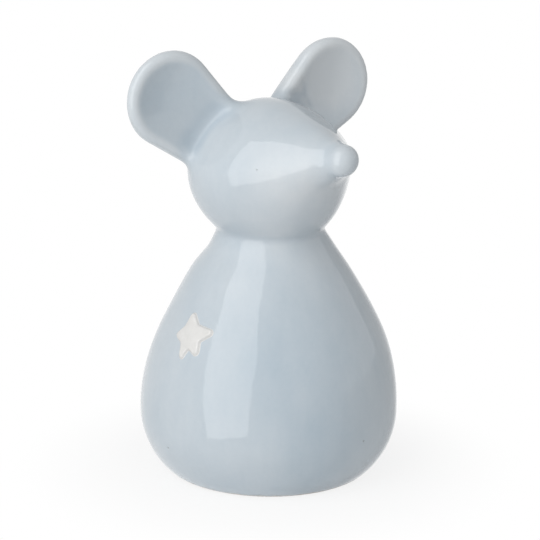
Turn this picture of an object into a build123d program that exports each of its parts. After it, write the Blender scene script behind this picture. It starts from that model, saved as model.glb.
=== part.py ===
from build123d import *
import os
from math import acos, asin, atan2, cos, degrees, pi, radians, sin, sqrt, tan

# A hollow glazed earthenware mouse. Belly, head, ears, nose and star are separate
# clay pieces, joined with slip while wet and fired together.
# Frame: millimetres, +Z up. The mouse faces -Y, so its right side is -X.
# The origin is on the belly's axis, in the plane that the foot rests on.

# Belly: a pear form turned about the vertical axis
foot_radius = 37.5
belly_radius = 48.5
belly_height = 23.0
flank_radius = 76.0
flank_turn = 26.0
neck_radius = 19.7
neck_height = 92.3
belly_wall = 4.0
floor_wall = 4.5

# Foot: an unglazed ring round a shallow recess, with the vent of a hollow casting
foot_edge_round = 1.2
foot_ring_width = 5.0
foot_recess_depth = 1.4
vent_radius = 4.0

# Head: a ball with a lower, narrower crown, drawn out to a pointed snout
head_radius = 30.3
head_wall = 4.0
crown_rise = 25.2
forehead_start = 6.0
snout_reach = 42.2
snout_rise = 10.4
snout_end_radius = 4.4
chin_hollow = 1.2

# Nose: a ball pressed over the end of the snout, a little low
nose_radius = 6.4
nose_drop = 0.5

# Ears: thick discs that taper into a root on the side of the crown. Each front is one
# long bowl that stays open towards the head. They were set by hand, the left one lower.
ear_radius = 17.5
ear_setback = 12.4
right_ear_offset = 35.7
right_ear_height = 142.0
right_ear_splay = 6.0
left_ear_offset = 36.4
left_ear_height = 140.6
left_ear_splay = 1.0
ear_root_slope = 40.0
ear_root_reach = 30.0
ear_root_radius = 12.3
ear_front = 3.6
ear_back = 6.8
ear_back_radius = 200.0
ear_back_shift = 22.0
ear_front_round = 2.4
ear_back_round = 4.2
bowl_depth = 4.6
bowl_root_depth = 3.6

# Star: a small raised pillow on the right flank of the belly
star_height = 58.3
star_bearing = 81.5
star_reach = 9.2
star_notch_reach = 4.9
star_tip_turns = (106.0, 22.0, -48.0, -98.0, -170.0)
star_proud = 1.0
star_bedding = 1.5
star_tip_round = 1.1
star_notch_round = 0.7
star_edge_round = 0.4

# Shape shares: a quarter circle, the crown's flatter side, and the head's stations
round_share = 0.5523
crown_side_share = 0.34
crown_top_share = 0.50
forehead_bend_share = 1.15
back_station_shares = (0.97, 0.82, 0.55, 0.25)
front_station_shares = (0.0, 0.17, 0.34, 0.52, 0.70, 0.86, 1.0)
star_tip_shares = (0.97, 1.12, 0.97, 1.03, 0.9)

# Values worked out from the ones above
head_height = neck_height + sqrt(head_radius**2 - neck_radius**2)
head_keep_share = 1 - head_wall / head_radius
flank_lean = asin((head_radius - snout_end_radius) / snout_reach)
chin_rise = snout_rise - snout_end_radius
chin_lean = atan2(chin_rise, snout_reach) - acos(head_radius / sqrt(snout_reach**2 + chin_rise**2))


def belly_profile(inset, floor_height):
    """Half section of the belly from its floor to the neck, drawn in by inset."""
    low_reach = belly_radius - foot_radius
    low_radius = (low_reach**2 + belly_height**2) / (2 * low_reach)
    low_turn = degrees(asin((belly_height - floor_height) / (low_radius - inset)))
    low = CenterArc((belly_radius - low_radius, belly_height), low_radius - inset, -low_turn, low_turn)
    flank_center = (belly_radius - flank_radius, belly_height)
    flank = CenterArc(flank_center, flank_radius - inset, 0, flank_turn)
    shoulder = TangentArc(flank @ 1, (neck_radius - inset, neck_height), tangent=flank % 1)
    edges = [
        Line((0, floor_height), low @ 0),
        low,
        flank,
        shoulder,
        Line(shoulder @ 1, (0, neck_height)),
        Line((0, neck_height), (0, floor_height)),
    ]
    return Plane.XZ * make_face(edges)


def belly_form():
    """The belly's outer form without its hollow, with the softened edge of its foot."""
    solid = revolve(belly_profile(0, 0), Axis.Z)
    foot_edge = solid.edges().filter_by(GeomType.CIRCLE).sort_by(Axis.Z)[0]
    return fillet(foot_edge, foot_edge_round)


def make_body_shell():
    """The cast belly: open at the neck, recessed and vented underneath."""
    hollow = revolve(belly_profile(belly_wall, floor_wall), Axis.Z)
    recess = extrude(Circle(foot_radius - foot_ring_width), amount=foot_recess_depth)
    vent = extrude(Circle(vent_radius), amount=2 * floor_wall)
    return belly_form() - hollow - recess - vent


def head_section(y, half_width, top, middle, bottom):
    """A face across the head: round below its widest level and narrower above it."""
    rise = top - middle
    drop = middle - bottom
    upper = Bezier(
        (half_width, middle),
        (half_width, middle + crown_side_share * rise),
        (crown_top_share * half_width, top),
        (0, top),
    )
    lower = Bezier(
        (0, bottom),
        (round_share * half_width, bottom),
        (half_width, middle - round_share * drop),
        (half_width, middle),
    )
    half = lower + upper
    across = Plane((0, y, 0), x_dir=(1, 0, 0), z_dir=(0, -1, 0))
    return across * make_face(half + mirror(half, Plane.YZ))


def skull_section(share):
    """A section behind the head's middle, where it is a ball with a low crown."""
    y = share * head_radius
    half = sqrt(head_radius**2 - y**2)
    crown = crown_rise * half / head_radius
    return head_section(y, half, head_height + crown, head_height, head_height - half)


def snout_section(share):
    """A section in front of the head's middle, where ball and snout share tangents."""
    reach = share * snout_reach
    ball = sqrt(max(0, head_radius**2 - reach**2))
    left = snout_reach - reach
    cone = snout_end_radius / cos(flank_lean) + left * tan(flank_lean)
    half = ball if reach < head_radius * sin(flank_lean) else cone
    middle = head_height + snout_rise * share**2
    run = max(0, (reach - forehead_start) / (snout_reach - forehead_start))
    fall = crown_rise - snout_rise - snout_end_radius
    top = head_height + crown_rise - fall * run**forehead_bend_share
    chin_start = head_radius * cos(chin_lean)
    if reach < chin_start:
        bottom = head_height - ball
    else:
        chin_run = left / (snout_reach - chin_start)
        drop = chin_rise + chin_run * (head_radius * sin(chin_lean) - chin_rise)
        bottom = head_height + drop + chin_hollow * sin(pi * chin_run)
    return head_section(-reach, half, top, middle, bottom)


def head_form():
    """The head's outer form as a whole, before it is cut off at the neck."""
    pole = Vertex(0, head_radius, head_height)
    back = [skull_section(share) for share in back_station_shares]
    front = [snout_section(share) for share in front_station_shares]
    return loft([pole] + back + front)


def make_head_shell(form):
    """The cast head: the form less a smaller copy of itself, open at the neck."""
    below = Pos(0, 0, neck_height - head_radius) * Box(4 * head_radius, 4 * head_radius, 2 * head_radius)
    hollow = Pos(0, 0, (1 - head_keep_share) * head_height) * scale(form, by=head_keep_share)
    throat = Pos(0, 0, neck_height) * Cylinder(neck_radius - head_wall, 2 * head_wall)
    return form - below - hollow - throat


def make_nose_tip(form):
    """The ball of the nose, with the snout's end as its socket and its seam in front."""
    ball = Rot(0, 0, -90) * Sphere(nose_radius)
    return Pos(0, -snout_reach, head_height + snout_rise - nose_drop) * ball - form


def tapered_half(radius, end_radius, reach):
    """Half of a flat shape that runs along +X from one circle to a smaller one."""
    lean = asin((radius - end_radius) / reach)
    turn = degrees(lean)
    side = Line(
        (radius * sin(lean), radius * cos(lean)),
        (reach + end_radius * sin(lean), end_radius * cos(lean)),
    )
    edges = [
        CenterArc((0, 0), radius, 90 - turn, 90 + turn),
        side,
        CenterArc((reach, 0), end_radius, 0, 90 - turn),
        Line((reach + end_radius, 0), (-radius, 0)),
    ]
    return make_face(edges)


def bowl_form():
    """The bowl's hollow: a ball over the disc, a smaller one over the root, and their cone."""
    disc_ball = (ear_radius**2 + bowl_depth**2) / (2 * bowl_depth)
    root_ball = (ear_root_radius**2 + bowl_root_depth**2) / (2 * bowl_root_depth)
    rise = disc_ball - bowl_depth
    fall = rise - (root_ball - bowl_root_depth)
    hollow = revolve(tapered_half(disc_ball, root_ball, sqrt(ear_root_reach**2 + fall**2)), Axis.X)
    return Pos(0, 0, ear_front + rise) * Rot(0, degrees(atan2(fall, ear_root_reach)), 0) * hollow


def ear_form():
    """An ear that lies along +X from its disc to its root, with its bowl facing up."""
    half = tapered_half(ear_radius, ear_root_radius, ear_root_reach)
    outline = half + mirror(half, Plane.XZ)
    slab = extrude(outline, amount=ear_front) + extrude(outline, amount=-2 * ear_back)
    dome = Rot(0, -90, 0) * Sphere(ear_back_radius)
    blank = (slab & (Pos(ear_back_shift, 0, ear_back_radius - ear_back) * dome)) - bowl_form()
    back_rim = blank.faces().sort_by(Axis.Z)[0].outer_wire().edges()
    blank = fillet(back_rim, ear_back_round)
    front_rim = blank.edges().filter_by(lambda edge: edge.center().Z > ear_front / 2)
    return fillet(front_rim, ear_front_round)


def make_ear(form, side, offset, height, turn):
    """An ear luted to the head's form. side is 1 on the mouse's left and -1 on its right."""
    splay = radians(turn)
    slope = radians(ear_root_slope)
    seat = Plane(
        origin=(side * offset, ear_setback, height),
        x_dir=(-side * cos(slope) * cos(splay), -cos(slope) * sin(splay), -sin(slope)),
        z_dir=(side * sin(splay), -cos(splay), 0),
    )
    return seat * ear_form() - form


def by_distance(corners):
    """Corners in order of their distance from the middle of their sketch."""
    return corners.sort_by(lambda corner: corner.center().length)


def star_outline():
    """A hand-cut five-pointed star: uneven arms with blunt tips and soft notches."""
    points = []
    count = len(star_tip_turns)
    for index, turn in enumerate(star_tip_turns):
        next_turn = star_tip_turns[(index + 1) % count]
        if next_turn > turn:
            next_turn -= 360
        tip = radians(turn)
        notch = radians((turn + next_turn) / 2)
        reach = star_tip_shares[index] * star_reach
        points.append((reach * cos(tip), reach * sin(tip)))
        points.append((star_notch_reach * cos(notch), star_notch_reach * sin(notch)))
    star = make_face(Polyline(*points, close=True))
    star = fillet(by_distance(star.vertices())[count:], star_tip_round)
    return fillet(by_distance(star.vertices())[:count], star_notch_round)


def make_star():
    """The star as a pillow that stands proud of the belly by one even height."""
    lean = asin((star_height - belly_height) / flank_radius)
    bearing = radians(star_bearing)
    radius = belly_radius - flank_radius * (1 - cos(lean))
    face = Plane(
        origin=(-radius * sin(bearing), -radius * cos(bearing), star_height),
        x_dir=(cos(bearing), -sin(bearing), 0),
        z_dir=(-sin(bearing) * cos(lean), -cos(bearing) * cos(lean), sin(lean)),
    )
    outline = star_outline()
    block = extrude(outline, amount=2 * star_proud) + extrude(outline, amount=-2 * star_bedding)
    skin = revolve(belly_profile(-star_proud, 0), Axis.Z)
    pillow = (face * block) & skin
    top = pillow.faces().sort_by(Axis.X)[0]
    return fillet(top.edges(), star_edge_round) - belly_form()


head = head_form()
parts = {
    "body_shell": make_body_shell(),
    "head_shell": make_head_shell(head),
    "nose_tip": make_nose_tip(head),
    "left_ear": make_ear(head, 1, left_ear_offset, left_ear_height, left_ear_splay),
    "right_ear": make_ear(head, -1, right_ear_offset, right_ear_height, right_ear_splay),
    "star": make_star(),
}
os.makedirs("parts", exist_ok=True)
for name, piece in parts.items():
    export_step(piece, f"parts/{name}.step")
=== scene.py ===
from math import cos, pi, radians, sin

import bmesh
import bpy
import numpy as np
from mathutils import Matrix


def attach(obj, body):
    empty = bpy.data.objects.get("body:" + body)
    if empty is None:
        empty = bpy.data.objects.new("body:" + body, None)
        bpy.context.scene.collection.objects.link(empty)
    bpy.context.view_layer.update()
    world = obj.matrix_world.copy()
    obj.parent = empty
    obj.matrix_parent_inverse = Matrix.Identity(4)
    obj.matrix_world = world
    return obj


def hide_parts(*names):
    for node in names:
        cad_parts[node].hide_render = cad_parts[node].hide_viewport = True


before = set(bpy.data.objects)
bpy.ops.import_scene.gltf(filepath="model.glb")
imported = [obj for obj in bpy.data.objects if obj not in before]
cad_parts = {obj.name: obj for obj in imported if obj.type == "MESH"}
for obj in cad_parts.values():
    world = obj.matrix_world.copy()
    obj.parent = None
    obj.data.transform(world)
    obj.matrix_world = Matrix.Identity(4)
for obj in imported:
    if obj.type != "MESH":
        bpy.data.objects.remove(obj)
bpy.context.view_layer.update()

import openvdb
from mathutils import Matrix, Vector
from mathutils.geometry import tessellate_polygon

# All lengths are in metres. A bearing is 0 at the mouse's front and positive towards its right.

# Camera, fitted to the photograph and its 540 pixel frame
IMAGE_SIZE = 540
CAMERA_BEARING = radians(36.0)
CAMERA_DISTANCE = 0.800
CAMERA_HEIGHT = 0.294
AIM_HEIGHT = 0.07575
PIXELS_PER_METRE = 2690.0
CAMERA_ROLL = radians(0.6)
SENSOR = 36.0

# Light: a tall soft box on the mouse's right and a dim wide panel on its left
KEY_BEARING = radians(77.0)
KEY_RISE = radians(25.0)
KEY_DISTANCE = 1.2
KEY_SIZE = (0.96, 2.2)
KEY_ROLL = radians(8.0)
KEY_LEVEL = 1.75
FILL_BEARING = radians(-36.0)
FILL_RISE = radians(28.0)
FILL_DISTANCE = 1.4
FILL_SIZE = (3.7, 1.36)
FILL_LEVEL = 0.12

# Surround: its light and how that leans to one side, and the dark parts that the gloss shows:
# a gap behind the mouse's left and a low skirt under it, each by bearings, heights and depth
WORLD_LEVEL = 0.26
WORLD_LEAN = 0.52
WORLD_LEAN_BEARING = radians(45.0)
WORLD_LEAN_RISE = radians(25.0)
GAP_NEAR = (radians(-92.0), radians(-90.0))
GAP_FAR = (radians(-136.0), radians(-112.0))
GAP_TOP = (0.30, 0.60)
GAP_DEPTH = 0.38
SKIRT_END = (radians(-34.0), radians(-26.0))
SKIRT_TOP = (0.02, 0.05)
SKIRT_DEPTH = 0.3

# Floor: a pale disc that turns from paint to plain glow between two radii
FLOOR_RADIUS = 0.55
FLOOR_SIDES = 128
FLOOR_COLOR = (0.9, 0.9, 0.9, 1)
FLOOR_FADE = (0.04, 0.10)
FLOOR_GLOW = 0.84

# Noises, as features a metre, detail and roughness, and the range that most of their values fill
NOISE_RANGE = (0.3, 0.7)
CLOUD_NOISE = (38.0, 3.0, 0.55)
RUN_NOISE = (130.0, 3.0, 0.6)
GRAIN_NOISE = (620.0, 2.0, 0.6)
CLAY_NOISE = (900.0, 4.0, 0.7)
GLOSS_NOISE = (95.0, 3.0)
EDGE_NOISE = (300.0,)
WAVE_NOISE = (60.0,)
RIPPLE_NOISE = (230.0,)
PEEL_NOISE = (1100.0,)
WHITE_NOISE = (260.0, 3.0, 0.6)
WHITE_GLOSS_NOISE = (210.0,)

# Blue glaze: the ends of its tone, how far each noise moves it, and its spots, each with its reach
# and its amount. The spots are partly the glaze's own tone, partly painted light and painted shade
BLUE_DEEPEST = (0.400, 0.484, 0.552, 1)
BLUE_PALEST = (0.620, 0.660, 0.690, 1)
TONE_SPAN = 2.9
CLOUD_SHARE = 0.5
RUN_SHARE = 0.35
GRAIN_SHARE = 0.15
RUN_STRETCH = (1.0, 1.0, 0.22)
TONE_CORE, TONE_END = 0.3, 1.2
# Spots of glaze tone mixed with painted light (lighter) and painted shade (darker)
TONE_AND_LIGHT_SPOTS = (
    ((0.036, 0.010, 0.143), 0.018, 3.40),
    ((-0.012, -0.028, 0.107), 0.024, 0.80),
    ((-0.015, -0.040, 0.048), 0.036, -1.50),
    ((-0.024, 0.001, 0.128), 0.012, 1.10),
    ((-0.0290, 0.0110, 0.1250), 0.006, -0.80),
    ((-0.012, -0.030, 0.118), 0.016, 1.70),
    ((-0.003, -0.012, 0.139), 0.018, -0.60),
    ((-0.013, -0.018, 0.096), 0.012, 1.20),
    ((0.006, -0.034, 0.112), 0.012, 0.90),
    ((-0.011, -0.047, 0.018), 0.020, -0.90),
    ((0.0175, 0.0108, 0.1425), 0.007, 2.60),
    ((-0.036, 0.010, 0.142), 0.013, -0.70),
)

# Where the glaze pools darker and where it breaks paler, by the bend that the skin carries
BLUE_POOL = (0.40, 0.48, 0.55, 1)
POOL_BENDS = (-0.00030, 0.00010)
POOL_SHARE = 0.5
BLUE_BREAK = (0.72, 0.74, 0.75, 1)
BREAK_BENDS = (0.00024, 0.00070)
BREAK_SHARE = 0.46
BREAK_RUNS = (0.2, 0.75, 0.7, 1.0)

# Specks, as cells a metre, a dot's radius and the share of cells that hold one, and pinholes,
# each a spot with its radius
SPECK_COLOR = (0.16, 0.15, 0.14, 1)
SPECKS = (85.0, 0.00045, 0.06)
SPECK_STRENGTH = 0.35
SPECK_SHARE = 0.38
SPECK_DEPTH_SHARE = 0.5
SPECK_CORE = 0.5
PALE_SPECKS = (70.0, 0.0006, 0.05)
PALE_SHARE = 0.3
PIT_CORE = 0.4
PIT_DEPTH = 0.0003
PITS = (
    ((-0.0476, -0.0032, 0.0162), 0.0005),
    ((0.0084, -0.0477, 0.0208), 0.0005),
    ((-0.0215, -0.0211, 0.1205), 0.00026),
)

# Gloss and relief of both glazes
GLAZE_IOR = 1.5
GLAZE_ROUGHNESS = (0.03, 0.07)
GLOSS_RANGE = (0.3, 0.75)
WAVE_HEIGHT = 0.00014
RIPPLE_HEIGHT = 0.000045
PEEL_HEIGHT = 0.0000015

# Bare clay at the foot, and how far its edge wanders up and down
CLAY_DARK = (0.62, 0.58, 0.52, 1)
CLAY_PALE = (0.76, 0.73, 0.68, 1)
CLAY_ROUGHNESS = 0.8
BARE_HEIGHTS = (0.0008, 0.0013)
BARE_WANDER = 0.0003

# White glaze of the star, which thins out over the blue at its edge
WHITE_DEEP = (0.68, 0.675, 0.66, 1)
WHITE_PALE = (0.73, 0.725, 0.71, 1)
WHITE_THIN = (0.600, 0.640, 0.665, 1)
WHITE_EDGES = (0.00038, 0.00056)
WHITE_SPECKS = (260.0, 0.0004, 0.08)
WHITE_SPECK_SHARE = 0.3
WHITE_ROUGHNESS = (0.06, 0.12)

# Hand-cast unevenness: waves through the skin by length, and where they fade out at the foot
WAVE_SEED = 7
WAVE_COUNT = 26
WAVE_LENGTHS = (0.016, 0.050)
WAVE_SLOPE_SHARE = 0.0035
WAVE_SINK = 0.00010
WAVE_START = 0.002
WAVE_REACH = 0.008

# Bends of the cast across the picture, by height, reach and amount: the first and the last
# lean towards its right and the middle one towards its left
LEANS = ((0.056, 0.021, 0.00065), (0.109, 0.011, -0.00070), (0.0850, 0.0050, 0.00055))

# Narrowing of the cast under the neck: height, reach and share of its width
WAIST = (0.0850, 0.0052, 0.033)

# Skin: its grid, how the CAD nodes' faces are rounded out, and how the surface is drawn and cut
GRAIN = 0.00095
MARGIN = 4
BAND = 10
PATCH_STEPS = 3
PATCH_AGREEMENT = 0.95
SOFT_PASSES = 2
DRAW_STEPS = 4
DRAW_LIMIT = 0.5
CUT_SHARES = (0.02, 0.98)
LID_DEPTH = 0.0012
TINY = 1e-12

# Fillets of slip where each node joins, at the back depth and at the front depth, and how
# much the glaze thickens an ear
JOIN_WIDTHS = {
    "head_shell": (0.0016, 0.0020),
    "left_ear": (0.0026, 0.0070),
    "right_ear": (0.0022, 0.0068),
    "nose_tip": (0.0012, 0.0012),
}
JOIN_DEPTHS = (0.014, 0.007)
EAR_SWELL = 0.00034
PARTING_ORDER = ("left_ear", "right_ear", "nose_tip", "head_shell")

# Creases pressed into the root of the left ear
FOLD_RADIUS = 0.0009
FOLD_MARGIN = 4 * FOLD_RADIUS
FOLDS = (
    (
        (0.0223, 0.0110, 0.1426),
        (0.0240, 0.0120, 0.1400),
        (0.0249, 0.0124, 0.1376),
        (0.0266, 0.0128, 0.1347),
        (0.0281, 0.0129, 0.1322),
    ),
    (
        (0.0239, 0.0123, 0.1370),
        (0.0216, 0.0118, 0.1376),
        (0.0180, 0.0107, 0.1386),
        (0.0147, 0.0101, 0.1394),
    ),
)

# Bend: how far the skin stands out from a wide average, less on the hollow shells and the ball
WIDE_PASSES = 10
SOLID_NAMES = ("left_ear", "right_ear", "nose_tip")
HOLLOW_BEND = 0.00030
HOLLOW_REACH = 0.004
BALL_REACH = 0.0015
BALL_SHARE = 0.45

# Star: its finer grid, how it flows into the skin, and how its arms are drawn out by hand
STAR_GRAIN = 0.0003
STAR_MARGIN = 8
STAR_JOIN_WIDTH = 0.0014
STAR_SOFT_PASSES = 5
STAR_SPREAD = 0.0006
STAR_SINK = 0.00004
STAR_LID_DEPTH = 0.0006
STAR_BEARING = radians(81.5)
STAR_HEIGHT = 0.0583
STAR_SLOPE = 0.525
STAR_TURN = 0.0270
STAR_TURN_REACH = 0.22
STAR_LEG_START, STAR_LEG_REACH, STAR_LEG_DROP = 0.0040, 0.0050, 0.0010
STAR_TOP_START, STAR_TOP_REACH, STAR_TOP_RISE = 0.0030, 0.0050, 0.0004

# Columns of the skin's data: place, slope, shade, and then one side for each parting
PLACES = slice(0, 3)
SLOPES = slice(3, 6)
SHADE = 6


def outward(bearing, rise):
    """A unit direction from the mouse."""
    return Vector((-sin(bearing) * cos(rise), -cos(bearing) * cos(rise), sin(rise)))


def aimed(thing, place, roll):
    """Put a camera or lamp at a place, facing the mouse and rolled a little; how far off it is."""
    bpy.context.scene.collection.objects.link(thing)
    way = Vector((0, 0, AIM_HEIGHT)) - place
    turn = way.to_track_quat("-Z", "Y").to_matrix().to_4x4()
    thing.matrix_world = Matrix.Translation(place) @ turn @ Matrix.Rotation(roll, 4, "Z")
    return way.length


def add_camera():
    """The photograph's viewpoint, with the slight clockwise lean of its picture."""
    data = bpy.data.cameras.new("camera")
    camera = bpy.data.objects.new("camera", data)
    across = -CAMERA_DISTANCE * sin(CAMERA_BEARING)
    along = -CAMERA_DISTANCE * cos(CAMERA_BEARING)
    place = Vector((across, along, CAMERA_HEIGHT))
    focal_pixels = PIXELS_PER_METRE * aimed(camera, place, CAMERA_ROLL)
    data.sensor_width = SENSOR
    data.lens = SENSOR * focal_pixels / IMAGE_SIZE
    bpy.context.scene.camera = camera


def add_panel(name, bearing, rise, distance, size, roll, level):
    """A flat soft light of an even brightness, level, that faces the mouse."""
    data = bpy.data.lights.new(name, "AREA")
    data.shape = "RECTANGLE"
    data.size, data.size_y = size
    data.energy = level * pi * size[0] * size[1]
    place = Vector((0, 0, AIM_HEIGHT)) + distance * outward(bearing, rise)
    aimed(bpy.data.objects.new(name, data), place, roll)


def set_inputs(node, inputs):
    """Link each input that comes from a socket, and set each one that is a value."""
    for key, value in inputs.items():
        if isinstance(value, bpy.types.NodeSocket):
            node.id_data.links.new(value, node.inputs[key])
        else:
            node.inputs[key].default_value = value


def adder(tree):
    """A function that adds one node to a tree, with its inputs and its settings."""
    def add(kind, inputs=(), **settings):
        node = tree.nodes.new(kind)
        for key, value in settings.items():
            setattr(node, key, value)
        set_inputs(node, dict(inputs))
        return node
    return add


def noise(add, place, scale, detail=2.0, roughness=0.5):
    """Soft noise around one half."""
    inputs = {"Vector": place, "Scale": scale, "Detail": detail, "Roughness": roughness}
    return add("ShaderNodeTexNoise", inputs).outputs["Fac"]


def ramp(add, value, low, high, start=0.0, end=1.0, smooth=True):
    """A value carried from one range to another and held at its ends."""
    kind = "SMOOTHSTEP" if smooth else "LINEAR"
    inputs = {"Value": value, "From Min": low, "From Max": high, "To Min": start, "To Max": end}
    return add("ShaderNodeMapRange", inputs, interpolation_type=kind).outputs[0]


def swing(add, value, share):
    """A noise carried to between minus share and share."""
    return ramp(add, value, *NOISE_RANGE, -share, share, False)


def maths(add, operation, first, second):
    """One sum on two values."""
    return add("ShaderNodeMath", {0: first, 1: second}, operation=operation).outputs[0]


def distance_to(add, place, spot):
    """How far a place is from a fixed spot."""
    node = add("ShaderNodeVectorMath", {0: place, 1: spot}, operation="DISTANCE")
    return node.outputs["Value"]


def blend_colors(add, share, first, second):
    """Two colours mixed by share."""
    node = add("ShaderNodeMix", data_type="RGBA")
    set_inputs(node, {0: share, 6: first, 7: second})
    return node.outputs[2]


def start_material(name):
    """An empty node material, its function for adding nodes, and its texture place in metres."""
    material = bpy.data.materials.new(name)
    material.use_nodes = True
    material.node_tree.nodes.clear()
    add = adder(material.node_tree)
    return material, add, add("ShaderNodeTexCoord").outputs["Object"]


def finish_surface(add, inputs):
    """A shader with these inputs as the material's surface."""
    shader = add("ShaderNodeBsdfPrincipled", inputs)
    add("ShaderNodeOutputMaterial", {"Surface": shader.outputs[0]})


def glaze_relief(add, place, pit):
    """The glaze's slow waves, its ripple, its fine orange peel and its pits, as one normal."""
    waves = {"Height": noise(add, place, *WAVE_NOISE), "Distance": WAVE_HEIGHT, "Strength": 1.0}
    ripple = {"Height": noise(add, place, *RIPPLE_NOISE), "Distance": RIPPLE_HEIGHT}
    ripple["Normal"] = add("ShaderNodeBump", waves).outputs[0]
    peel = {"Height": noise(add, place, *PEEL_NOISE), "Distance": PEEL_HEIGHT}
    peel["Normal"] = add("ShaderNodeBump", ripple).outputs[0]
    dents = {"Height": pit, "Distance": PIT_DEPTH}
    dents["Normal"] = add("ShaderNodeBump", peel).outputs[0]
    return add("ShaderNodeBump", dents, invert=True).outputs[0]


def speck_share(add, place, scale, radius, rarity):
    """Scattered small dots: one round dot in a few of the cells of a random pattern."""
    cells = add("ShaderNodeTexVoronoi", {"Vector": place, "Scale": scale})
    tone = add("ShaderNodeSeparateColor", {"Color": cells.outputs["Color"]}).outputs[0]
    chosen = maths(add, "LESS_THAN", tone, rarity)
    size = radius * scale
    dot = ramp(add, cells.outputs["Distance"], SPECK_CORE * size, size, 1.0, 0.0)
    return maths(add, "MULTIPLY", chosen, dot)


def pit_share(add, place):
    """The few larger pinholes, at their places in the photograph."""
    total = 0.0
    for spot, radius in PITS:
        dot = ramp(add, distance_to(add, place, spot), PIT_CORE * radius, radius, 1.0, 0.0)
        total = maths(add, "MAXIMUM", dot, total)
    return total


def blue_tone(add, place, runs):
    """Blue colour before pooling and breaking: noise, glaze tone, and painted light and shade."""
    tone = swing(add, noise(add, place, *CLOUD_NOISE), CLOUD_SHARE)
    tone = maths(add, "ADD", tone, swing(add, runs, RUN_SHARE))
    tone = maths(add, "ADD", tone, swing(add, noise(add, place, *GRAIN_NOISE), GRAIN_SHARE))
    # Each spot is partly glaze tone and partly painted light and painted shade on the colour
    for spot, radius, amount in TONE_AND_LIGHT_SPOTS:
        away = distance_to(add, place, spot)
        tone_and_light_shift = ramp(add, away, TONE_CORE * radius, TONE_END * radius, amount, 0.0)
        tone = maths(add, "ADD", tone, tone_and_light_shift)
    share = ramp(add, tone, -TONE_SPAN, TONE_SPAN, smooth=False)
    return blend_colors(add, share, BLUE_DEEPEST, BLUE_PALEST)


def blue_glaze():
    """A pale blue gloss that pools darker in creases, breaks paler on rims and bares the foot."""
    material, add, place = start_material("blue_glaze")
    bend = add("ShaderNodeAttribute", attribute_name="bend").outputs["Fac"]
    stretch = {0: place, 1: RUN_STRETCH}
    stretched = add("ShaderNodeVectorMath", stretch, operation="MULTIPLY").outputs[0]
    runs = noise(add, stretched, *RUN_NOISE)
    color = blue_tone(add, place, runs)
    color = blend_colors(add, ramp(add, bend, *POOL_BENDS, POOL_SHARE, 0.0), color, BLUE_POOL)
    broken = ramp(add, bend, *BREAK_BENDS, 0.0, BREAK_SHARE)
    broken = maths(add, "MULTIPLY", broken, ramp(add, runs, *BREAK_RUNS, False))
    color = blend_colors(add, broken, color, BLUE_BREAK)
    pits = pit_share(add, place)
    specks = maths(add, "MULTIPLY", speck_share(add, place, *SPECKS), SPECK_STRENGTH)
    specks = maths(add, "MAXIMUM", specks, pits)
    color = blend_colors(add, maths(add, "MULTIPLY", specks, SPECK_SHARE), color, SPECK_COLOR)
    pale = maths(add, "MULTIPLY", speck_share(add, place, *PALE_SPECKS), PALE_SHARE)
    color = blend_colors(add, pale, color, BLUE_BREAK)
    height = add("ShaderNodeSeparateXYZ", {"Vector": place}).outputs["Z"]
    edge = swing(add, noise(add, place, *EDGE_NOISE), BARE_WANDER)
    bare = ramp(add, maths(add, "ADD", height, edge), *BARE_HEIGHTS, 1.0, 0.0)
    clay = blend_colors(add, noise(add, place, *CLAY_NOISE), CLAY_DARK, CLAY_PALE)
    color = blend_colors(add, bare, color, clay)
    gloss = ramp(add, noise(add, place, *GLOSS_NOISE), *GLOSS_RANGE, *GLAZE_ROUGHNESS, False)
    roughness = {"Factor": bare, "A": gloss, "B": CLAY_ROUGHNESS}
    roughness = add("ShaderNodeMix", roughness).outputs[0]
    dents = maths(add, "MAXIMUM", pits, maths(add, "MULTIPLY", specks, SPECK_DEPTH_SHARE))
    surface = {"Base Color": color, "Roughness": roughness, "IOR": GLAZE_IOR}
    finish_surface(add, {**surface, "Normal": glaze_relief(add, place, dents)})
    return material


def white_glaze():
    """The star's thicker white glaze: a little uneven, speckled, and thin at its edge."""
    material, add, place = start_material("white_glaze")
    cloud = ramp(add, noise(add, place, *WHITE_NOISE), *NOISE_RANGE)
    color = blend_colors(add, cloud, WHITE_DEEP, WHITE_PALE)
    specks = speck_share(add, place, *WHITE_SPECKS)
    dark = maths(add, "MULTIPLY", specks, WHITE_SPECK_SHARE)
    color = blend_colors(add, dark, color, SPECK_COLOR)
    edge = add("ShaderNodeAttribute", attribute_name="edge").outputs["Fac"]
    color = blend_colors(add, ramp(add, edge, *WHITE_EDGES), color, WHITE_THIN)
    gloss = noise(add, place, *WHITE_GLOSS_NOISE)
    gloss = ramp(add, gloss, *NOISE_RANGE, *WHITE_ROUGHNESS, False)
    surface = {"Base Color": color, "Roughness": gloss, "IOR": GLAZE_IOR}
    finish_surface(add, {**surface, "Normal": glaze_relief(add, place, specks)})
    return material


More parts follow.
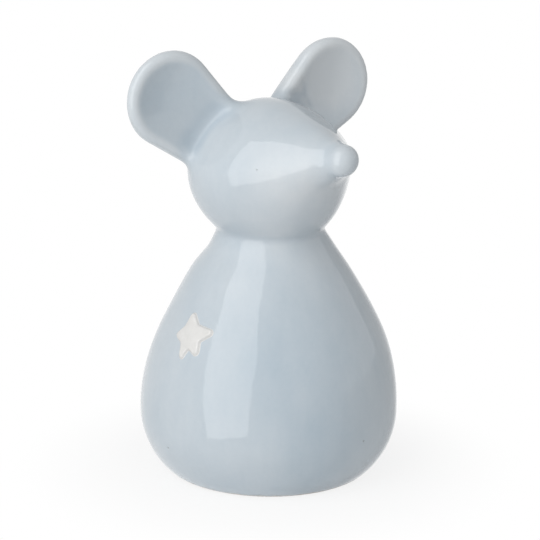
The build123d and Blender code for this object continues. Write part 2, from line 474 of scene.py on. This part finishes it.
def add_world():
    """White to the camera, white with dark parts in the gloss, and a lower, leaning light."""
    world = bpy.data.worlds.new("world")
    bpy.context.scene.world = world
    world.use_nodes = True
    world.node_tree.nodes.clear()
    add = adder(world.node_tree)
    way = add("ShaderNodeTexCoord").outputs["Generated"]
    x, y, z = add("ShaderNodeSeparateXYZ", {0: way}).outputs
    right, front = maths(add, "MULTIPLY", x, -1.0), maths(add, "MULTIPLY", y, -1.0)
    bearing = maths(add, "ARCTAN2", right, front)
    gap = ramp(add, bearing, *GAP_NEAR, 1.0, 0.0)
    gap = maths(add, "MULTIPLY", gap, ramp(add, bearing, *GAP_FAR))
    gap = maths(add, "MULTIPLY", gap, ramp(add, z, *GAP_TOP, GAP_DEPTH, 0.0))
    skirt = ramp(add, bearing, *GAP_NEAR)
    skirt = maths(add, "MULTIPLY", skirt, ramp(add, bearing, *SKIRT_END, 1.0, 0.0))
    skirt = maths(add, "MULTIPLY", skirt, ramp(add, z, *SKIRT_TOP, SKIRT_DEPTH, 0.0))
    path = add("ShaderNodeLightPath").outputs
    dark = maths(add, "MULTIPLY", maths(add, "MAXIMUM", gap, skirt), path["Is Glossy Ray"])
    seen = maths(add, "MAXIMUM", path["Is Camera Ray"], path["Is Glossy Ray"])
    seen = maths(add, "MAXIMUM", seen, path["Is Transmission Ray"])
    lean = {0: way, 1: outward(WORLD_LEAN_BEARING, WORLD_LEAN_RISE)}
    lean = add("ShaderNodeVectorMath", lean, operation="DOT_PRODUCT").outputs["Value"]
    light = ramp(add, lean, 0.0, 1.0, WORLD_LEVEL, WORLD_LEVEL + WORLD_LEAN, False)
    strength = {"Factor": seen, "A": light, "B": maths(add, "SUBTRACT", 1.0, dark)}
    strength = add("ShaderNodeMix", strength).outputs[0]
    back = add("ShaderNodeBackground", {"Color": (1, 1, 1, 1), "Strength": strength})
    add("ShaderNodeOutputWorld", {"Surface": back.outputs[0]})


def floor_material():
    """Pale paint that takes the object's shadow, and plain white where it is seen further out."""
    material, add, place = start_material("floor")
    away = add("ShaderNodeVectorMath", {0: place}, operation="LENGTH").outputs["Value"]
    path = add("ShaderNodeLightPath").outputs
    seen = maths(add, "MAXIMUM", path["Is Camera Ray"], path["Is Glossy Ray"])
    share = maths(add, "MULTIPLY", seen, ramp(add, away, *FLOOR_FADE, FLOOR_GLOW, 1.0))
    paint = add("ShaderNodeBsdfDiffuse", {"Color": FLOOR_COLOR}).outputs[0]
    glow = add("ShaderNodeEmission").outputs[0]
    mix = add("ShaderNodeMixShader", {0: share, 1: paint, 2: glow})
    add("ShaderNodeOutputMaterial", {"Surface": mix.outputs[0]})
    return material


def add_floor():
    """A round pale table that the gloss doesn't show."""
    mesh = bpy.data.meshes.new("floor")
    disc = bmesh.new()
    bmesh.ops.create_circle(disc, cap_ends=True, radius=FLOOR_RADIUS, segments=FLOOR_SIDES)
    disc.to_mesh(mesh)
    disc.free()
    mesh.materials.append(floor_material())
    floor = bpy.data.objects.new("floor", mesh)
    bpy.context.scene.collection.objects.link(floor)
    floor.visible_glossy = False


def read(items, name, width, kind=np.float32):
    """One property of all of a mesh's items as an array with a row for each item."""
    values = np.empty(len(items) * width, kind)
    items.foreach_get(name, values)
    return values.reshape(-1, width)


def node_box(nodes):
    """The least and greatest corner of CAD nodes."""
    corners = [node.matrix_world @ Vector(c) for node in nodes for c in node.bound_box]
    return np.min(corners, axis=0), np.max(corners, axis=0)


def grid_over(nodes, grain, margin):
    """The first cell and the shape of a grid over CAD nodes, with spare cells around them."""
    least, greatest = node_box(nodes)
    low = np.floor(least / grain).astype(int) - margin
    high = np.ceil(greatest / grain).astype(int) + margin
    return low, tuple(high - low + 1)


def curved_triangles(node):
    """A CAD node's triangles, each split evenly on a curved patch through its corner normals."""
    mesh = node.data
    mesh.calc_loop_triangles()
    matrix = np.array(node.matrix_world, dtype=np.float64)
    vertices = read(mesh.vertices, "co", 3) @ matrix[:3, :3].T + matrix[:3, 3]
    places = vertices[read(mesh.loop_triangles, "vertices", 3, np.int32)]
    loops = read(mesh.loop_triangles, "loops", 3, np.int32)
    normals = read(mesh.corner_normals, "vector", 3)[loops]
    facing = np.cross(places[:, 1] - places[:, 0], places[:, 2] - places[:, 0])
    facing /= np.maximum(np.linalg.norm(facing, axis=1, keepdims=True), TINY)
    control = {}
    for a, b in ((0, 1), (1, 2), (2, 0), (1, 0), (2, 1), (0, 2)):
        lift = np.sum((places[:, b] - places[:, a]) * normals[:, a], axis=1, keepdims=True)
        lift *= np.sum(facing * normals[:, a], axis=1, keepdims=True) > PATCH_AGREEMENT
        control[a, b] = (2 * places[:, a] + places[:, b] - lift * normals[:, a]) / 3
    middle = sum(control.values()) / 6
    middle = middle + (middle - places.mean(axis=1)) / 2
    index, points = {}, []
    for i in range(PATCH_STEPS + 1):
        for j in range(PATCH_STEPS + 1 - i):
            share = (1 - (i + j) / PATCH_STEPS, i / PATCH_STEPS, j / PATCH_STEPS)
            point = 6 * share[0] * share[1] * share[2] * middle
            for a in range(3):
                point = point + share[a] ** 3 * places[:, a]
            for (a, b), place in control.items():
                point = point + 3 * share[a] ** 2 * share[b] * place
            index[i, j] = len(points)
            points.append(point)
    small = []
    for i in range(PATCH_STEPS):
        for j in range(PATCH_STEPS - i):
            small.append((index[i, j], index[i + 1, j], index[i, j + 1]))
            if i + j < PATCH_STEPS - 1:
                small.append((index[i + 1, j], index[i + 1, j + 1], index[i, j + 1]))
    points = np.stack(points, axis=1)
    start = np.arange(len(points))[:, None, None] * points.shape[1]
    return points.reshape(-1, 3), (start + np.array(small)[None]).reshape(-1, 3)


def distance_field(node, low, shape, grain):
    """Distances to a CAD node's surface on a grid, negative inside."""
    points, triangles = curved_triangles(node)
    grid = openvdb.FloatGrid.createLevelSetFromPolygons(
        points.astype(np.float32),
        triangles=triangles.astype(np.uint32),
        transform=openvdb.createLinearTransform(voxelSize=grain),
        exBandWidth=BAND,
        inBandWidth=BAND,
    )
    field = np.empty(shape, np.float32)
    grid.copyToArray(field, ijk=tuple(int(c) for c in low))
    return field


def joined(first, second, width):
    """Two fields as one, with a fillet of about this width where their surfaces meet."""
    near = np.maximum(width - np.abs(first - second), 0) / width
    return np.minimum(first, second) - near * near * (width / 4)


def softened(field, passes):
    """A field averaged with its neighbours along each axis."""
    for _ in range(passes):
        for axis in range(3):
            ends = [(0, 0)] * 3
            ends[axis] = (1, 1)
            wide = np.moveaxis(np.pad(field, ends, mode="edge"), axis, 0)
            field = np.moveaxis((wide[:-2] + 2 * wide[1:-1] + wide[2:]) / 4, 0, axis)
    return np.ascontiguousarray(field)


def sampled(field, cells):
    """A field's values at points in grid units, blended from the eight nearest cells."""
    base = np.clip(np.floor(cells).astype(int), 0, np.array(field.shape[:3]) - 2)
    share = cells - base
    total = 0
    for corner in np.ndindex(2, 2, 2):
        weight = np.prod(np.where(corner, share, 1 - share), axis=1)
        value = field[tuple((base + corner).T)]
        total = total + (weight[:, None] * value if value.ndim > 1 else weight * value)
    return total


def eased(share):
    """A soft step from 0 to 1."""
    share = np.clip(share, 0, 1)
    return share * share * (3 - 2 * share)


def unevenness(low, shape):
    """A gentle random relief on the skin's grid: a sum of long waves in many directions."""
    random = np.random.default_rng(WAVE_SEED)
    total = np.zeros(shape, np.float32)
    for _ in range(WAVE_COUNT):
        way = random.normal(size=3)
        length = random.uniform(*WAVE_LENGTHS)
        way *= 2 * pi / (length * np.linalg.norm(way))
        phase = random.uniform(0, 2 * pi)
        parts = [np.exp(1j * way[i] * GRAIN * (low[i] + np.arange(shape[i]))) for i in range(3)]
        flat = np.exp(1j * phase) * parts[0][:, None] * parts[1][None]
        wave = (flat[:, :, None] * parts[2]).real
        total += (WAVE_SLOPE_SHARE * length / (2 * pi) * wave).astype(np.float32)
    return total


def folded(field, low):
    """The field with the creases that were pressed into the root of the left ear."""
    for line in FOLDS:
        line = np.array(line)
        start = np.floor((line.min(axis=0) - FOLD_MARGIN) / GRAIN).astype(int) - low
        end = np.ceil((line.max(axis=0) + FOLD_MARGIN) / GRAIN).astype(int) - low
        part = tuple(slice(int(a), int(b)) for a, b in zip(start, end))
        places = (np.stack(np.mgrid[part], axis=-1) + low) * GRAIN
        away = np.full(places.shape[:3], np.inf)
        for a, b in zip(line[:-1], line[1:]):
            along = np.clip((places - a) @ (b - a) / ((b - a) @ (b - a)), 0, 1)
            near = np.linalg.norm(places - a - along[..., None] * (b - a), axis=-1)
            away = np.minimum(away, near)
        crease = (away - FOLD_RADIUS).astype(np.float32)
        field[part] = -joined(-field[part], crease, FOLD_RADIUS)
    return field


def traced(field, low, grain):
    """A field's zero surface: points drawn onto it, its slopes there, triangles and grid cells."""
    slope = np.stack(np.gradient(field), axis=-1) / grain
    grid = openvdb.FloatGrid(BAND * grain)
    grid.copyFromArray(field, ijk=tuple(int(c) for c in low), tolerance=0.0)
    grid.transform = openvdb.createLinearTransform(voxelSize=grain)
    points, quads = grid.convertToQuads(isovalue=0.0)
    cells = points / grain - low
    for _ in range(DRAW_STEPS):
        lean = sampled(slope, cells)
        step = sampled(field, cells)[:, None] * lean / np.sum(lean * lean, axis=1, keepdims=True)
        cells = cells - np.clip(step / grain, -DRAW_LIMIT, DRAW_LIMIT)
    points = (cells + low) * grain
    normals = sampled(slope, cells)
    normals /= np.linalg.norm(normals, axis=1, keepdims=True)
    quads = quads.astype(np.int64)
    triangles = np.concatenate([quads[:, [0, 1, 2]], quads[:, [0, 2, 3]]])
    a, b, c = (points[triangles[:, i]] for i in range(3))
    if np.sum(np.cross(b - a, c - a) * normals[triangles[:, 0]]) < 0:
        triangles = triangles[:, ::-1]
    return points, normals, triangles, cells


def parted(data, triangles, side):
    """Triangles cut along side's zero line: all data, all triangles and which lie below it."""
    below = side[triangles] < 0
    count = below.sum(axis=1)
    whole = (count == 0) | (count == 3)
    flags = below[~whole]
    lone = np.where(count[~whole] == 1, flags.argmax(axis=1), flags.argmin(axis=1))
    order = (lone[:, None] + np.arange(3)) % 3
    first, second, third = np.take_along_axis(triangles[~whole], order, axis=1).T
    edges = np.concatenate([np.stack([first, second], 1), np.stack([first, third], 1)])
    keys, inverse = np.unique(np.sort(edges, axis=1), axis=0, return_inverse=True)
    share = side[keys[:, 0]] / (side[keys[:, 0]] - side[keys[:, 1]])
    share = np.clip(share, *CUT_SHARES)[:, None]
    fresh = (1 - share) * data[keys[:, 0]] + share * data[keys[:, 1]]
    index = len(data) + inverse.reshape(2, -1)
    tips = np.stack([first, index[0], index[1]], 1)
    near = np.stack([index[0], second, third], 1)
    far = np.stack([index[0], third, index[1]], 1)
    tip_below = flags[np.arange(len(lone)), lone]
    low = np.concatenate([count[whole] == 3, tip_below, ~tip_below, ~tip_below])
    return np.concatenate([data, fresh]), np.concatenate([triangles[whole], tips, near, far]), low


def rims(triangles):
    """The open edges of triangles as closed loops, in the triangles' own direction."""
    edges = np.concatenate([triangles[:, [0, 1]], triangles[:, [1, 2]], triangles[:, [2, 0]]])
    scale = int(edges.max()) + 1
    forward = edges[:, 0].astype(np.int64) * scale + edges[:, 1]
    backward = edges[:, 1].astype(np.int64) * scale + edges[:, 0]
    open_edges = edges[~np.isin(forward, backward)]
    following = dict(open_edges.tolist())
    loops = []
    while following:
        start, here = following.popitem()
        loop = [start]
        while here != start:
            loop.append(here)
            here = following.pop(here)
        loops.append(loop)
    return loops


def lid(data, loops, depth):
    """Sunk points under the loops of one joint, and the triangles that close it through them."""
    order = np.array([index for loop in loops for index in loop])
    after = np.array([index for loop in loops for index in loop[1:] + loop[:1]])
    sunk = data[order].copy()
    sunk[:, PLACES] -= depth * sunk[:, SLOPES]
    place = dict(zip(order.tolist(), range(len(data), len(data) + len(order))))
    low = np.array([place[index] for index in order.tolist()])
    low_after = np.array([place[index] for index in after.tolist()])
    walls = [np.stack([after, order, low], 1), np.stack([after, low, low_after], 1)]
    data = np.concatenate([data, sunk])
    rings = [[place[index] for index in loop] for loop in loops]
    ring = data[max(rings, key=len), PLACES]
    facing = -np.cross(ring, np.roll(ring, -1, axis=0)).sum(axis=0)
    flat = np.array([index for loop in rings for index in loop])
    outlines = [[Vector(data[index, PLACES]) for index in loop] for loop in rings]
    bottom = flat[np.array(tessellate_polygon(outlines))]
    a, b, c = (data[bottom[:, i], PLACES] for i in range(3))
    turned = np.cross(b - a, c - a) @ facing < 0
    bottom[turned] = bottom[turned][:, ::-1]
    return data, np.concatenate([*walls, bottom])


def bump(heights, height, reach, amount):
    """A soft bump over the heights, of this amount at its own height, and its slope."""
    step = (heights - height) / reach
    size = amount * np.exp(-step * step)
    return size, -2 * step / reach * size


def leaned(points, normals):
    """The skin narrowed under the neck and bent a little by height, and its slopes after that."""
    heights = points[:, 2]
    flat = points * (1, 1, 0)
    squeeze, taper = bump(heights, *WAIST)
    shift, slope = 0, 0
    for lean in LEANS:
        size, rise = bump(heights, *lean)
        shift, slope = shift + size, slope + rise
    way = np.array([cos(CAMERA_BEARING), -sin(CAMERA_BEARING), 0])
    moved = points - squeeze[:, None] * flat + shift[:, None] * way
    turned = normals.copy()
    turned[:, 2] -= (normals @ way) * slope - np.sum(normals * flat, axis=1) * taper
    return moved, turned / np.linalg.norm(turned, axis=1, keepdims=True)


def skin_piece(name, label, data, triangles, lids):
    """A closed mesh from its share of the skin and its lids, shaded by the skin's own slopes."""
    used, inverse = np.unique(np.concatenate([triangles, lids]), return_inverse=True)
    faces = inverse.reshape(-1, 3).astype(np.int32)
    mesh = bpy.data.meshes.new(name)
    mesh.vertices.add(len(used))
    mesh.loops.add(faces.size)
    mesh.polygons.add(len(faces))
    points, slopes = leaned(data[used, PLACES], data[used, SLOPES])
    points = np.clip(points, *node_box(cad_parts.values()))
    mesh.vertices.foreach_set("co", points.astype(np.float32).ravel())
    mesh.loops.foreach_set("vertex_index", faces.ravel())
    mesh.polygons.foreach_set("loop_start", np.arange(0, faces.size, 3, dtype=np.int32))
    mesh.update(calc_edges=True)
    shade = mesh.attributes.new(label, "FLOAT", "POINT")
    shade.data.foreach_set("value", data[used, SHADE].astype(np.float32))
    normals = slopes[faces]
    corners = points[faces[len(triangles):]]
    flat = np.cross(corners[:, 1] - corners[:, 0], corners[:, 2] - corners[:, 0])
    normals[len(triangles):] = flat[:, None]
    normals /= np.maximum(np.linalg.norm(normals, axis=2, keepdims=True), TINY)
    mesh.polygons.foreach_set("use_smooth", np.ones(len(faces), dtype=bool))
    mesh.normals_split_custom_set(normals.reshape(-1, 3).tolist())
    piece = bpy.data.objects.new(name, mesh)
    bpy.context.scene.collection.objects.link(piece)
    return piece


def skin_field(fields, low):
    """The nodes' fields as one soft skin, with its fillets, its folds and its unevenness."""
    whole = fields["body_shell"]
    depths = GRAIN * (low[1] + np.arange(whole.shape[1]))
    ahead = np.clip((depths - JOIN_DEPTHS[0]) / (JOIN_DEPTHS[1] - JOIN_DEPTHS[0]), 0, 1)
    for name, (back, front) in JOIN_WIDTHS.items():
        swell = EAR_SWELL if name.endswith("ear") else 0.0
        width = (back + ahead * (front - back)).astype(np.float32)[None, :, None]
        whole = joined(whole, fields[name] - np.float32(swell), width)
    whole = folded(whole, low)
    heights = GRAIN * (low[2] + np.arange(whole.shape[2]))
    share = np.clip((heights - WAVE_START) / WAVE_REACH, 0, 1).astype(np.float32)
    whole = whole + (unevenness(low, whole.shape) + WAVE_SINK) * share
    return softened(whole, SOFT_PASSES)


def skin_bend(whole, fields, cells):
    """How far the skin stands out from its wider surroundings, for the glaze to follow."""
    solid = sampled(np.minimum.reduce([fields[name] for name in SOLID_NAMES]), cells)
    bend = sampled(softened(whole, WIDE_PASSES), cells)
    bend = bend - HOLLOW_BEND * np.clip(solid / HOLLOW_REACH, 0, 1)
    ball = np.clip(1 - sampled(fields["nose_tip"], cells) / BALL_REACH, 0, 1)
    return bend * (1 - BALL_SHARE * ball)


def lids_for(data, triangles, cuts):
    """The data with sunk points, and a piece's lids, one for each cut that its rims lie on."""
    loops = rims(triangles)
    lids = []
    for start, end in cuts:
        own = [loop for loop in loops if start <= loop[0] < end]
        if own:
            data, faces = lid(data, own, LID_DEPTH)
            lids.append(faces)
    return data, np.concatenate(lids)


def add_skin():
    """The glazed surface over the CAD nodes, parted again into one closed piece for each."""
    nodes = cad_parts
    names = ("body_shell", *JOIN_WIDTHS)
    low, shape = grid_over(nodes.values(), GRAIN, MARGIN)
    fields = {name: distance_field(nodes[name], low, shape, GRAIN) for name in names}
    whole = skin_field(fields, low)
    points, normals, triangles, cells = traced(whole, low, GRAIN)
    columns = [points, normals, skin_bend(whole, fields, cells)[:, None]]
    for name in PARTING_ORDER:
        others = [fields[other] for other in names if other != name]
        columns.append(sampled(fields[name] - np.minimum.reduce(others), cells)[:, None])
    data = np.concatenate(columns, axis=1)
    shares, cuts = {}, []
    for column, name in enumerate(PARTING_ORDER, SHADE + 1):
        start = len(data)
        data, triangles, inside = parted(data, triangles, data[:, column])
        cuts.append((start, len(data)))
        shares[name], triangles = triangles[inside], triangles[~inside]
    shares["body_shell"] = triangles
    pieces = []
    for name, share in shares.items():
        data, lids = lids_for(data, share, cuts)
        piece = skin_piece(name + "_glazed", "bend", data, share, lids)
        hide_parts(name)
        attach(piece, "root")
        pieces.append(piece)
    return pieces, whole, low


def uncut(places):
    """Where places on the star lie before its arms are drawn out by hand along the flank."""
    bearing = np.arctan2(-places[:, 0], -places[:, 1])
    above = places[:, 2] - STAR_HEIGHT
    rise = STAR_TOP_RISE * eased((above - STAR_TOP_START) / STAR_TOP_REACH)
    rise -= STAR_LEG_DROP * eased((-above - STAR_LEG_START) / STAR_LEG_REACH)
    bearing -= STAR_TURN * eased((bearing - STAR_BEARING) / STAR_TURN_REACH + 1)
    radius = np.hypot(places[:, 0], places[:, 1]) + rise * STAR_SLOPE
    across, along = -radius * np.sin(bearing), -radius * np.cos(bearing)
    return np.stack([across, along, places[:, 2] - rise], axis=1)


def add_star(whole, low):
    """The star, softened by its glaze, with an edge that flows into the skin's own field."""
    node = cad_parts["star"]
    star_low, shape = grid_over([node], STAR_GRAIN, STAR_MARGIN)
    star = distance_field(node, star_low, shape, STAR_GRAIN)
    cells = np.stack(np.mgrid[[slice(0, n) for n in shape]], axis=-1).reshape(-1, 3)
    places = (cells + star_low) * STAR_GRAIN
    star = sampled(star, uncut(places) / STAR_GRAIN - star_low)
    star = star.reshape(shape).astype(np.float32)
    belly = sampled(whole, places / GRAIN - low).reshape(shape).astype(np.float32)
    both = softened(joined(belly, star, STAR_JOIN_WIDTH), STAR_SOFT_PASSES)
    flow = eased(star / STAR_SPREAD).astype(np.float32)
    both += (belly + np.float32(STAR_SINK) - both) * flow
    points, normals, triangles, cells = traced(both, star_low, STAR_GRAIN)
    data = np.concatenate([points, normals, sampled(star, cells)[:, None]], axis=1)
    data, triangles, inside = parted(data, triangles, data[:, SHADE] - STAR_SPREAD)
    share = triangles[inside]
    data, faces = lid(data, rims(share), STAR_LID_DEPTH)
    piece = skin_piece("star_glazed", "edge", data, share, faces)
    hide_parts("star")
    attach(piece, "root")
    return piece


bpy.context.scene.view_settings.view_transform = "Standard"
add_camera()
add_panel("key", KEY_BEARING, KEY_RISE, KEY_DISTANCE, KEY_SIZE, KEY_ROLL, KEY_LEVEL)
add_panel("fill", FILL_BEARING, FILL_RISE, FILL_DISTANCE, FILL_SIZE, 0, FILL_LEVEL)
add_world()
add_floor()
blue = blue_glaze()
white = white_glaze()
blue_pieces, skin, skin_low = add_skin()
for blue_piece in blue_pieces:
    blue_piece.data.materials.append(blue)
add_star(skin, skin_low).data.materials.append(white)
